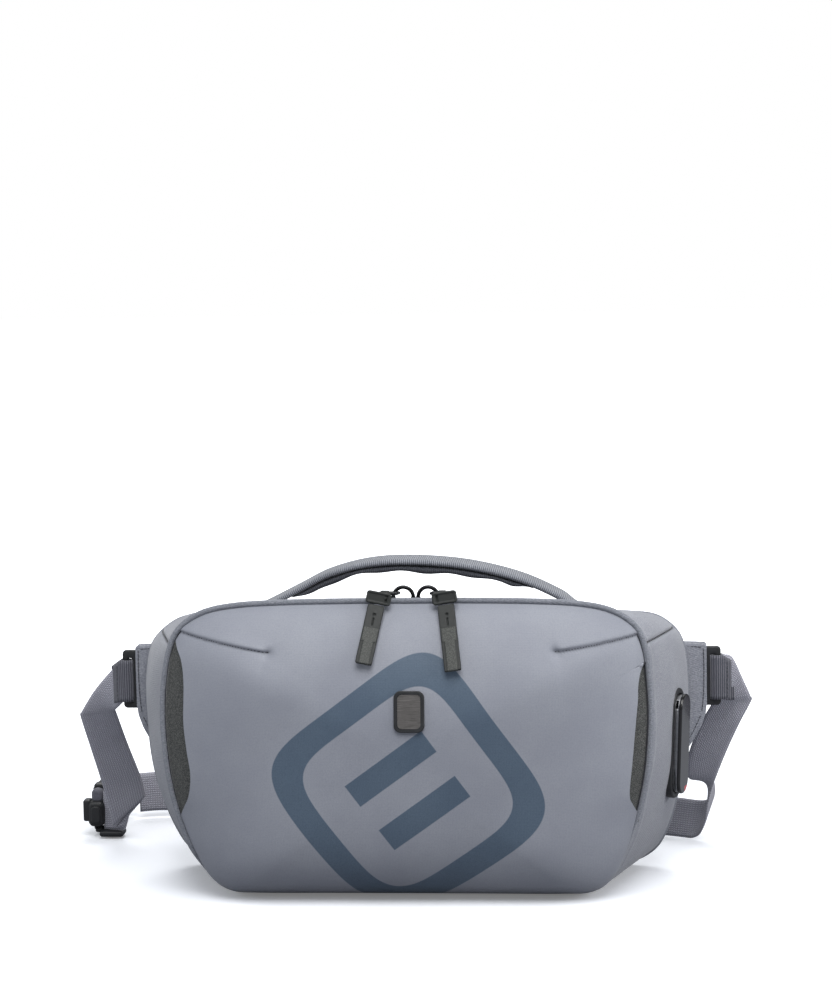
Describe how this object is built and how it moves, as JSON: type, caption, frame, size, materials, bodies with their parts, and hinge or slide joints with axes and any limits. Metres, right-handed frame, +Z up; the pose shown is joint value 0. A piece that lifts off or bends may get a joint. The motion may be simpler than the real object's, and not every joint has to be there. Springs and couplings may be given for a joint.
{
  "type": "waist bag",
  "caption": "Soft boxy waist and sling bag with a padded back, top zip, carry handle, buckled waist strap and a side dock holding a pocket tool.",
  "frame": {"origin": "on the ground under the middle of the bag's flat base", "axes": "+X to the right seen from the front, +Y to the bag's back (the wearer), +Z up"},
  "size_m": [0.4053, 0.2307, 0.1892],
  "materials": {
    "coated_fabric": "smooth matte coated cloth",
    "knit_fabric": "heathered knit",
    "speckled_fabric": "dark speckled twill",
    "piping_fabric": "heathered binding",
    "foam": "soft foam",
    "spacer_mesh": "open spacer mesh",
    "lining_fabric": "plain woven lining",
    "stiffener_board": "sheet",
    "zip_tape": "woven tape",
    "nylon_coil": "nylon",
    "webbing": "ribbed webbing",
    "webbing_dark": "folded cloth",
    "black_metal": "black plated",
    "badge_metal": "brushed, warm grey",
    "moulded_black": "fine moulded texture",
    "magnet_steel": "plated",
    "puller_rubber": "soft rubber",
    "gloss_black": "polished",
    "tool_steel": "brushed",
    "red_plastic": "polished"
  },
  "bodies": {
    "root": {"front_panel": "coated_fabric", "base_panel": "coated_fabric", "top_panel": "knit_fabric", "side_panel_left": "knit_fabric", "side_panel_right": "knit_fabric", "pocket_insert_left": "speckled_fabric", "pocket_insert_right": "speckled_fabric", "front_piping": "piping_fabric", "back_panel": "knit_fabric", "back_foam": "foam", "back_pad": "spacer_mesh", "lining": "lining_fabric", "base_stiffener": "stiffener_board", "inner_pocket": "lining_fabric", "zip_tape_front": "zip_tape", "zip_tape_rear": "zip_tape", "zip_coil": "nylon_coil", "zip_end_stops": "nylon_coil", "wing_left": "knit_fabric", "wing_right": "knit_fabric", "handle_patch_left": "webbing", "handle_patch_right": "webbing", "badge_bezel": "black_metal", "badge_plate": "badge_metal", "badge_backing": "badge_metal", "tool_dock": "moulded_black", "dock_magnets": "magnet_steel", "dock_backing": "moulded_black"},
    "handle": {"handle_webbing": "webbing", "handle_padding": "webbing_dark"},
    "slider_left": {"zip_slider_left": "black_metal"},
    "slider_right": {"zip_slider_right": "black_metal"},
    "link_left": {"pull_link_left": "black_metal"},
    "link_right": {"pull_link_right": "black_metal"},
    "puller_left": {"pull_clip_left": "puller_rubber", "pull_tab_left": "puller_rubber"},
    "puller_right": {"pull_clip_right": "puller_rubber", "pull_tab_right": "puller_rubber"},
    "strap": {"ring_tab_left": "webbing", "ring_tab_right": "webbing", "ring_left": "black_metal", "ring_right": "black_metal", "strap_left": "webbing", "strap_right": "webbing", "buckle_female": "moulded_black"},
    "buckle_insert": {"buckle_male": "moulded_black", "strap_bight": "webbing"},
    "tool": {"tool_scale_inner": "gloss_black", "tool_frame": "tool_steel", "tool_pin": "tool_steel", "tool_scale_outer": "gloss_black", "tool_red_tip": "red_plastic"},
    "tool_blade": {"tool_opener": "tool_steel"}
  },
  "joints": [
    {"name": "handle_tilt", "type": "hinge", "parent": "root", "child": "handle", "pos_m": [0, 0.015, 0.1685], "axis": [1, 0, 0], "range_deg": [-45, 25]},
    {"name": "zip_travel_left", "type": "slide", "parent": "root", "child": "slider_left", "axis": [-1, 0, 0], "range_m": [0, 0.082]},
    {"name": "pull_swing_left", "type": "hinge", "parent": "slider_left", "child": "link_left", "pos_m": [-0.0048, -0.014, 0.1719], "axis": [0, 0.9921, -0.1253], "range_deg": [0, 60]},
    {"name": "pull_lift_left", "type": "hinge", "parent": "link_left", "child": "puller_left", "pos_m": [-0.0103, -0.0269, 0.17353], "axis": [-1, 0, 0], "range_deg": [0, 110]},
    {"name": "zip_travel_right", "type": "slide", "parent": "root", "child": "slider_right", "axis": [1, 0, 0], "range_m": [0, 0.072]},
    {"name": "pull_swing_right", "type": "hinge", "parent": "slider_right", "child": "link_right", "pos_m": [0.0144, -0.014, 0.1719], "axis": [0, -0.9921, 0.1253], "range_deg": [0, 60]},
    {"name": "pull_lift_right", "type": "hinge", "parent": "link_right", "child": "puller_right", "pos_m": [0.0199, -0.0269, 0.17353], "axis": [-1, 0, 0], "range_deg": [0, 110]},
    {"name": "strap_swing", "type": "hinge", "parent": "root", "child": "strap", "pos_m": [0, 0.054, 0.111], "axis": [1, 0, 0], "range_deg": [0, 170]},
    {"name": "buckle_release", "type": "slide", "parent": "strap", "child": "buckle_insert", "axis": [0, 1, 0], "range_m": [0, 0.025]},
    {"name": "tool_release", "type": "slide", "parent": "root", "child": "tool", "axis": [0.953, -0.3005, -0.0384], "range_m": [0, 0.025]},
    {"name": "tool_opener_swing", "type": "hinge", "parent": "tool", "child": "tool_blade", "pos_m": [0.15121, 0.0175, 0.05679], "axis": [0.953, -0.3005, -0.0384], "range_deg": [0, 170]}
  ]
}
